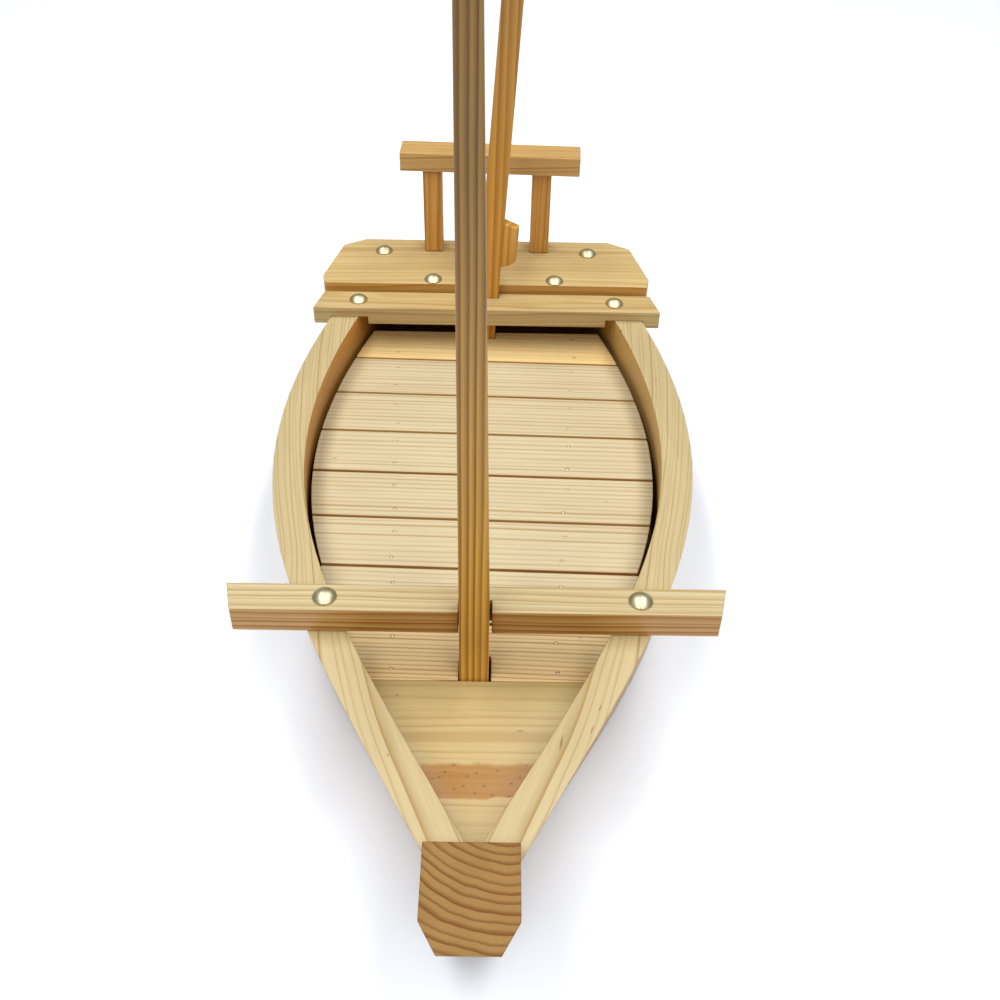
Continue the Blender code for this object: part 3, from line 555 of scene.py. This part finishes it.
def joined_mesh(node, name):
    """The node's shape with its faces joined at shared corners and flat faces in one piece."""
    work = bmesh.new()
    work.from_mesh(NODES[node].data)
    bmesh.ops.remove_doubles(work, verts=work.verts, dist=WELD)
    bmesh.ops.dissolve_limit(work, angle_limit=FLAT_ANGLE, verts=work.verts, edges=work.edges)
    mesh = bpy.data.meshes.new(name)
    work.to_mesh(mesh)
    work.free()
    if "custom_normal" in mesh.attributes:
        mesh.attributes.remove(mesh.attributes["custom_normal"])
    mesh.shade_smooth()
    mesh.set_sharp_from_angle(angle=SHARP_ANGLE)
    return mesh


def spun_mesh(name, profile, places, steps):
    """One closed round body at each place, spun from a profile of radius and height pairs."""
    body = bmesh.new()
    points = [body.verts.new((radius, 0, height)) for radius, height in profile]
    edges = [body.edges.new(pair) for pair in zip(points, points[1:])]
    bmesh.ops.spin(
        body, geom=points + edges, cent=(0, 0, 0), axis=(0, 0, 1), steps=steps, angle=math.tau
    )
    bmesh.ops.remove_doubles(body, verts=body.verts, dist=WELD)
    bmesh.ops.recalc_face_normals(body, faces=body.faces)
    mesh = bpy.data.meshes.new(name)
    body.to_mesh(mesh)
    body.free()
    bodies = bmesh.new()
    for place in places:
        first = len(bodies.verts)
        bodies.from_mesh(mesh)
        bodies.verts.ensure_lookup_table()
        bmesh.ops.translate(bodies, verts=bodies.verts[first:], vec=place)
    bodies.to_mesh(mesh)
    bodies.free()
    mesh.shade_smooth()
    mesh.set_sharp_from_angle(angle=SHARP_ANGLE)
    return mesh


class BOAT_OT_sides(bpy.types.Operator):
    """Side planks with smooth curved faces, and painted shade on their inner faces, darker towards the deck
    """

    bl_idname = "boat.sides"
    bl_label = "Side planks"

    def execute(self, context):
        boat = context.scene.boat
        colours = boat.colours
        # Specks: x, y, height, half length, half width, and turn in degrees
        marks = (
            (-0.0362, -0.1602, GUNWALE_TOP, 0.0007, 0.0006, 0),
            (-0.0928, 0.1085, 0.070, 0.0012, 0.0006, 0),
            (0.0353, -0.1528, GUNWALE_TOP, 0.0050, 0.0006, -12),
            (0.0525, -0.1345, GUNWALE_TOP, 0.0030, 0.0004, -20),
            (0.0484, -0.1461, GUNWALE_TOP, 0.0035, 0.0004, -20),
            (0.0837, 0.1602, GUNWALE_TOP, 0.0022, 0.0008, 0),
            (0.1003, 0.1085, GUNWALE_TOP, 0.0008, 0.0007, 0),
        )
        material = pine(
            "lacquered_pine_band_sawn_side", colours.side_early, colours.side_late, boat.rings.side,
            along=(1, 0, 0), pith=SIDE_PITH, wander=0.0016, share=0.22, faintest=0.35, honey=0.08,
            curved=True, marks=marks,
        )
        for side in SIDES:
            # Painted shade: each inner face gets a warmer, darker copy of the plank's wood that darkens
            # towards the deck
            inside = pine(
                f"lacquered_pine_band_sawn_{side}_inside", colours.inside_shaded_early, colours.inside_shaded_late,
                boat.rings.side, along=(1, 0, 0), pith=SIDE_PITH, wander=0.0016, share=0.24,
                curved=True, marks=marks, upright_shading=INSIDE_UPRIGHT_SHADE[side],
                height_shade=(INSIDE_SHADE_TOP, DECK_TOP, INSIDE_DEPTH_SHADE[side]),
            )
            mesh = joined_mesh(f"{side}_side", f"{side}_side_plank")
            new_piece(f"{side}_side_plank", mesh, material, [f"{side}_side"])
            mesh.materials.append(inside)
            for face in mesh.polygons:
                if abs(face.normal.z) < UPRIGHT_RISE and face.normal.x * face.center.x < 0:
                    face.material_index = 1
        return {"FINISHED"}


class BOAT_OT_stem(bpy.types.Operator):
    """Stem post with ring arcs on its sawn top"""

    bl_idname = "boat.stem"
    bl_label = "Stem post"

    def execute(self, context):
        boat = context.scene.boat
        material = pine(
            "lacquered_pine_sawn_stem", boat.colours.stem_early, boat.colours.stem_late, boat.rings.stem,
            along=(0, -math.sin(STEM_RAKE), math.cos(STEM_RAKE)), pith=(0.0133, -0.1731, STEM_TOP),
            wander=0.0010, share=0.30, faintest=0.7, spread=0.6, upright_shading=0.0, shine=0.15,
        )
        dress("stem_post", material)
        return {"FINISHED"}


class BOAT_OT_hull_boards(bpy.types.Operator):
    """Bottom board and transom, and the battens, bearers and mast step under the deck"""

    bl_idname = "boat.hull_boards"
    bl_label = "Hull boards"

    def execute(self, context):
        boat = context.scene.boat
        early, late, ring = boat.colours.side_early, boat.colours.side_late, boat.rings.side
        fore_aft = pine(
            "lacquered_pine_planed_fore_aft", early, late, ring, along=(0, 1, 0), pith=(0.03, 0, -0.06)
        )
        crosswise = pine(
            "lacquered_pine_planed_crosswise", early, late, ring, along=(1, 0, 0), pith=(0, 0.15, -0.04)
        )
        for node in ("bottom_board", "left_deck_batten", "right_deck_batten"):
            dress(node, fore_aft)
        for node in ("transom", "front_deck_bearer", "rear_deck_bearer", "mast_step", "stern_bearer"):
            dress(node, crosswise)
        return {"FINISHED"}


class BOAT_OT_fore_board(bpy.types.Operator):
    """Fore board with its band of knotty heartwood"""

    bl_idname = "boat.fore_board"
    bl_label = "Fore board"

    def execute(self, context):
        boat = context.scene.boat
        colours = boat.colours
        marks = (
            (0.0190, -0.1290, DECK_TOP, 0.0005, 0.0022, 0),
            (-0.0371, -0.1097, DECK_TOP, 0.0006, 0.0010, 0),
        )
        material = pine(
            "lacquered_pine_planed_fore_board", colours.fore_early, colours.fore_late, boat.rings.fore,
            along=(1, 0, 0), pith=(0, -0.02, -0.03), wander=0.0014, share=0.28, honey=0.12, marks=marks,
            heart=True,
        )
        mesh = joined_mesh("fore_board", "fore_board_planed")
        left, right = FORE_REACH
        for corner in mesh.vertices:
            corner.co.x += right if corner.co.x > 0 else -left
        new_piece("fore_board_planed", mesh, material, ["fore_board"])
        return {"FINISHED"}


class BOAT_OT_deck(bpy.types.Operator):
    """Deck slats, each from its own board, with dimples where the brads are set"""

    bl_idname = "boat.deck"
    bl_label = "Deck slats"

    def execute(self, context):
        boat = context.scene.boat
        colours, sizes = boat.colours, boat.fittings
        top, foot = sizes.dimple / 2, sizes.brad_head / 2
        seat = -sizes.dimple_depth
        profile = [(0, seat), (foot, seat), (top, 0), (top, CUTTER_RISE), (0, CUTTER_RISE)]
        marks = (
            (-0.0848, 0.0603, DECK_TOP, 0.0005, 0.0022, 4),
            (0.0673, 0.0262, DECK_TOP, 0.0004, 0.0010, 0),
            (0.0484, -0.0733, DECK_TOP, 0.0006, 0.0007, 0),
        )
        for index, (node, places) in enumerate(zip(SLATS, brad_places(sizes))):
            reach = PITH_REACHES[index % len(PITH_REACHES)]
            depth = PITH_DEPTHS[index % len(PITH_DEPTHS)]
            pith = (0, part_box(node)[0].y + reach * (-1) ** index, DECK_TOP - depth)
            early, late = colours.deck_early, colours.deck_late
            ring, faintest, height_shade = boat.rings.deck, SLAT_FAINTEST, None
            # The foremost slat has its own wood and ring lines, its colour partly painted light against the
            # front beam's shadow
            if node == SLATS[0]:
                early, late = colours.front_slat_early, colours.front_slat_late
                ring, faintest = boat.rings.front_slat, FRONT_SLAT_FAINTEST
            # The rearmost slat gets painted warm bounce light, and painted shade down its front edge
            if node == SLATS[-1]:
                early, late = colours.rear_slat_bounce_early, colours.rear_slat_bounce_late
                height_shade = REAR_SLAT_EDGE_SHADE
            material = pine(
                f"lacquered_pine_planed_slat_{index + 1}", early, late, ring,
                along=(1, -math.tan(sizes.brad_skew), 0), pith=pith, wander=0.0007, share=0.28,
                faintest=faintest, spread=0.8, honey=0.12, marks=marks, height_shade=height_shade,
            )
            mesh = joined_mesh(node, f"{node}_planed")
            left, right = SLAT_REACH.get(node, (0, 0))
            for corner in mesh.vertices:
                if abs(corner.co.x) > SLAT_END:
                    corner.co.x += right if corner.co.x > 0 else -left
            slat = new_piece(f"{node}_planed", mesh, material, [node])
            cutter = bpy.data.objects.new("dimples", spun_mesh("dimples", profile, places, BRAD_STEPS))
            context.scene.collection.objects.link(cutter)
            cut = slat.modifiers.new("dimples", "BOOLEAN")
            cut.object = cutter
            cut.solver = "EXACT"
            graph = context.evaluated_depsgraph_get()
            slat_mesh = bpy.data.meshes.new_from_object(slat.evaluated_get(graph))
            slat.modifiers.clear()
            slat_mesh.shade_flat()
            slat.data = slat_mesh
            bpy.data.objects.remove(cutter)
        return {"FINISHED"}


def brad_places(sizes):
    """Where each slat's four brads stand: two rows over the battens, a little out of line."""
    front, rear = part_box(SLATS[0])[0].y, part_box(SLATS[-1])[1].y
    rows = (
        (-sizes.left_row_front, -sizes.left_row_rear),
        (sizes.right_row_front, sizes.right_row_rear),
    )
    slip = random.Random(BRAD_SEED)
    places = []
    for index in range(len(SLATS)):
        middle = front + sizes.brad_first + index * sizes.brad_pitch
        four = []
        for offset in (-sizes.brad_spacing / 2, sizes.brad_spacing / 2):
            for x_front, x_rear in rows:
                share = (middle + offset - front) / (rear - front)
                x = x_front + share * (x_rear - x_front) + slip.uniform(-1, 1) * sizes.brad_slip
                skew = x * math.tan(sizes.brad_skew)
                y = middle + offset - skew + slip.uniform(-1, 1) * sizes.brad_slip
                four.append(Vector((x, y, DECK_TOP)))
        places.append(four)
    return places


class BOAT_OT_brads(bpy.types.Operator):
    """Brads that hold the slats, their small domed heads level with the wood"""

    bl_idname = "boat.brads"
    bl_label = "Deck brads"

    def execute(self, context):
        boat = context.scene.boat
        sizes = boat.fittings
        head, shank, seat = sizes.brad_head / 2, sizes.brad_shank / 2, -sizes.dimple_depth
        tip = seat - sizes.brad_length
        neck = seat + BRAD_LIFT
        profile = [(0, tip), (shank, tip + sizes.brad_shank), (shank, neck)]
        for step in range(CROWN_STEPS + 1):
            angle = math.pi / 2 * step / CROWN_STEPS
            profile.append((head * math.cos(angle), neck + sizes.brad_crown * math.sin(angle)))
        places = [place for four in brad_places(sizes) for place in four]
        material = plated_metal("dull_zinc_plated_steel_brad", boat.colours.brad, BRAD_ROUGHNESS)
        mesh = spun_mesh("deck_brads", profile, places, BRAD_STEPS)
        new_piece("deck_brads", mesh, material)
        return {"FINISHED"}


class BOAT_OT_beams(bpy.types.Operator):
    """Cross beams with straight grain from end to end"""

    bl_idname = "boat.beams"
    bl_label = "Cross beams"

    def execute(self, context):
        boat = context.scene.boat
        colours, ring = boat.colours, boat.rings.beam
        front = pine(
            "lacquered_pine_planed_front_beam", colours.beam_early, colours.beam_late, ring,
            along=(1, 0, 0.004), pith=(0, -0.040, 0.035), share=0.45, faintest=0.5,
        )
        rear = pine(
            "lacquered_pine_planed_rear_beam", colours.rear_beam_early, colours.rear_beam_late, ring,
            along=(1, 0, 0.01), pith=(0, 0.20, 0.02), wander=0.002, upright_shading=0.0,
        )
        dress("front_beam", front)
        dress("rear_beam", rear)
        return {"FINISHED"}


class BOAT_OT_stern(bpy.types.Operator):
    """Stern deck"""

    bl_idname = "boat.stern"
    bl_label = "Stern deck"

    def execute(self, context):
        boat = context.scene.boat
        material = pine(
            "lacquered_pine_planed_stern_deck", boat.colours.stern_early, boat.colours.stern_late,
            boat.rings.stern, along=(1, 0.01, 0.004), pith=(0, 0.14, 0.03), wander=0.0022,
        )
        dress("stern_deck", material)
        return {"FINISHED"}


class BOAT_OT_gate(bpy.types.Operator):
    """Gate posts and rail"""

    bl_idname = "boat.gate"
    bl_label = "Gate"

    def execute(self, context):
        boat = context.scene.boat
        colours, ring = boat.colours, boat.rings.gate
        rail = pine(
            "lacquered_pine_planed_gate_rail", colours.gate_early, colours.gate_late, ring,
            along=(1, 0, 0.012), pith=(0, 0.20, 0.12), wander=0.0014, upright_shading=0.15,
        )
        dress("gate_rail", rail)
        for side in SIDES:
            low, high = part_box(f"{side}_gate_post")
            pith = ((low.x + high.x) / 2 + POST_PITH[side], low.y + POST_PITH_AFT, low.z)
            post = pine(
                f"lacquered_pine_planed_{side}_post", colours.post_early, colours.post_late, ring,
                along=(0.02, 0, 1), pith=pith, upright_shading=0.25,
            )
            dress(f"{side}_gate_post", post)
        return {"FINISHED"}


class BOAT_OT_mast(bpy.types.Operator):
    """Mast with straight dark ring lines up its faces"""

    bl_idname = "boat.mast"
    bl_label = "Mast"

    def execute(self, context):
        boat = context.scene.boat
        material = pine(
            "lacquered_pine_planed_mast", boat.colours.mast_early, boat.colours.mast_late,
            boat.rings.mast, along=(0.004, 0, 1), pith=(-0.10, -0.06, 0), wander=0.0005, share=0.42,
            faintest=0.7, spread=0.4, honey=0.1, upright_shading=0.0, height_shade=MAST_HEIGHT_SHADE,
        )
        dress("mast", material)
        return {"FINISHED"}


class BOAT_OT_oar(bpy.types.Operator):
    """Oar with slanting grain, and its stop block"""

    bl_idname = "boat.oar"
    bl_label = "Oar"

    def execute(self, context):
        boat = context.scene.boat
        early, late, ring = boat.colours.oar_early, boat.colours.oar_late, boat.rings.oar
        material = pine(
            "lacquered_pine_planed_oar", early, late, ring,
            along=(0.02, 0.01, 1), pith=(0.05, 0.17, 0.1), wander=0.0012, share=0.5, upright_shading=0.0,
            height_shade=OAR_HEIGHT_SHADE,
        )
        dress("oar", material)

        # The stop is glued on, so its near face comes up to the oar and closes the solids' gap
        mesh = joined_mesh("oar_stop", "oar_stop_glued")
        across = Vector((math.cos(OAR_LEAN), 0, -math.sin(OAR_LEAN)))
        nearest = min(corner.co.dot(across) for corner in mesh.vertices)
        for corner in mesh.vertices:
            if corner.co.dot(across) < nearest + GLUE_REACH:
                corner.co -= boat.fittings.glue_gap * across
        new_piece("oar_stop_glued", mesh, material, ["oar_stop"], "oar")
        return {"FINISHED"}


class BOAT_OT_nails(bpy.types.Operator):
    """Dome-headed nails with a thin upright rim"""

    bl_idname = "boat.nails"
    bl_label = "Dome nails"

    def execute(self, context):
        boat = context.scene.boat
        sizes = boat.fittings
        low, high = NAIL_BOX
        head, shank = (high.x - low.x) / 2, sizes.nail_shank / 2
        tip = low.z - high.z
        rise = sizes.nail_head - sizes.nail_rim
        ball = (head**2 + rise**2) / (2 * rise)
        profile = [(0, tip), (shank, tip + sizes.nail_head), (shank, -sizes.nail_head)]
        profile.append((head * NAIL_UNDERCUT, -sizes.nail_head))
        for step in range(DOME_STEPS + 1):
            angle = math.asin(head / ball) * (1 - step / DOME_STEPS)
            profile.append((ball * math.sin(angle), ball * (math.cos(angle) - 1)))
        material = plated_metal("polished_plated_brass_nail", boat.colours.nail, NAIL_ROUGHNESS)
        for node in NAILS:
            low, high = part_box(node)
            place = Vector(((low.x + high.x) / 2, (low.y + high.y) / 2, high.z))
            mesh = spun_mesh(f"{node}_dome", profile, [place], ROUND_STEPS)
            new_piece(f"{node}_dome", mesh, material, [node])
        return {"FINISHED"}


class BOAT_OT_stage(bpy.types.Operator):
    """White table, two long softboxes overhead and the camera"""

    bl_idname = "boat.stage"
    bl_label = "Studio"

    def execute(self, context):
        scene = context.scene
        studio = scene.boat.studio
        half = studio.floor_size / 2
        mesh = bpy.data.meshes.new("floor")
        corners = [(-half, -half, 0), (half, -half, 0), (half, half, 0), (-half, half, 0)]
        mesh.from_pydata(corners, [], [(0, 1, 2, 3)])
        floor = bpy.data.objects.new("floor", mesh)
        floor.location.z = -FLOOR_DROP

        # Matt paint: an even white that mirrors nothing
        material, _, shader = new_material("matt_white_painted_table")
        shader.inputs["Base Color"].default_value = (*studio.floor_colour, 1)
        shader.inputs["Roughness"].default_value = TABLE_ROUGHNESS
        mesh.materials.append(material)
        scene.collection.objects.link(floor)

        for side, sign in zip(SIDES, (-1, 1)):
            lamp = bpy.data.lights.new(f"{side}_softbox", "AREA")
            lamp.shape = "RECTANGLE"
            lamp.size = studio.light_length
            lamp.size_y = studio.light_width
            lamp.energy = studio.light_power
            softbox = bpy.data.objects.new(f"{side}_softbox", lamp)
            softbox.location = (sign * studio.light_apart / 2, -studio.light_ahead, studio.light_height)
            aim = Vector((-softbox.location.x, 0, -softbox.location.z))
            softbox.rotation_euler = aim.to_track_quat("-Z", "Y").to_euler()
            scene.collection.objects.link(softbox)
        scene.world = scene.world or bpy.data.worlds.new("room")
        scene.world.use_nodes = True
        background = scene.world.node_tree.nodes["Background"]
        background.inputs["Color"].default_value = (*studio.sky_colour, 1)
        background.inputs["Strength"].default_value = studio.sky

        pitch, yaw, roll = studio.camera_pitch, studio.camera_yaw, studio.camera_roll
        flat = math.cos(pitch)
        ahead = Vector((-math.sin(yaw) * flat, math.cos(yaw) * flat, -math.sin(pitch)))
        level = Vector((math.cos(yaw), math.sin(yaw), 0))
        up = level.cross(ahead)
        right = math.cos(roll) * level + math.sin(roll) * up
        above = math.cos(roll) * up - math.sin(roll) * level
        turn = Matrix((right, above, -ahead)).transposed().to_4x4()
        lens = bpy.data.cameras.new("camera")
        lens.lens = studio.lens
        lens.sensor_width = SENSOR_WIDTH
        lens.clip_start = NEAREST_VIEW
        camera = bpy.data.objects.new("camera", lens)
        camera.matrix_world = Matrix.Translation(studio.camera_place) @ turn
        scene.collection.objects.link(camera)
        scene.camera = camera
        scene.view_settings.view_transform = "Standard"
        return {"FINISHED"}


OPERATORS = (
    BOAT_OT_stage,
    BOAT_OT_sides,
    BOAT_OT_stem,
    BOAT_OT_hull_boards,
    BOAT_OT_fore_board,
    BOAT_OT_deck,
    BOAT_OT_brads,
    BOAT_OT_beams,
    BOAT_OT_stern,
    BOAT_OT_gate,
    BOAT_OT_mast,
    BOAT_OT_oar,
    BOAT_OT_nails,
)


class BOAT_PT_looks(bpy.types.Panel):
    """Settings and steps of the boat's looks"""

    bl_idname = "BOAT_PT_looks"
    bl_label = "Sushi boat"
    bl_space_type = "VIEW_3D"
    bl_region_type = "UI"
    bl_category = "Boat"

    def draw(self, context):
        boat = context.scene.boat
        for group in (boat.colours, boat.rings, boat.fittings, boat.studio):
            box = self.layout.box()
            for key in group.__annotations__:
                box.prop(group, key)
        for operator in OPERATORS:
            self.layout.operator(operator.bl_idname)


CLASSES = (PineColours, PineRings, Fittings, Studio, BoatLooks, *OPERATORS, BOAT_PT_looks)


def register():
    """Adds the settings, steps and panel."""
    for item in CLASSES:
        bpy.utils.register_class(item)
    bpy.types.Scene.boat = PointerProperty(
        type=BoatLooks, name="Boat looks", description="Looks of the boat"
    )


def unregister():
    """Takes the settings, steps and panel out again."""
    del bpy.types.Scene.boat
    for item in reversed(CLASSES):
        bpy.utils.unregister_class(item)


def main():
    """Dresses the boat."""
    register()
    for operator in OPERATORS:
        group, name = operator.bl_idname.split(".")
        getattr(getattr(bpy.ops, group), name)()


if __name__ == "__main__":
    main()
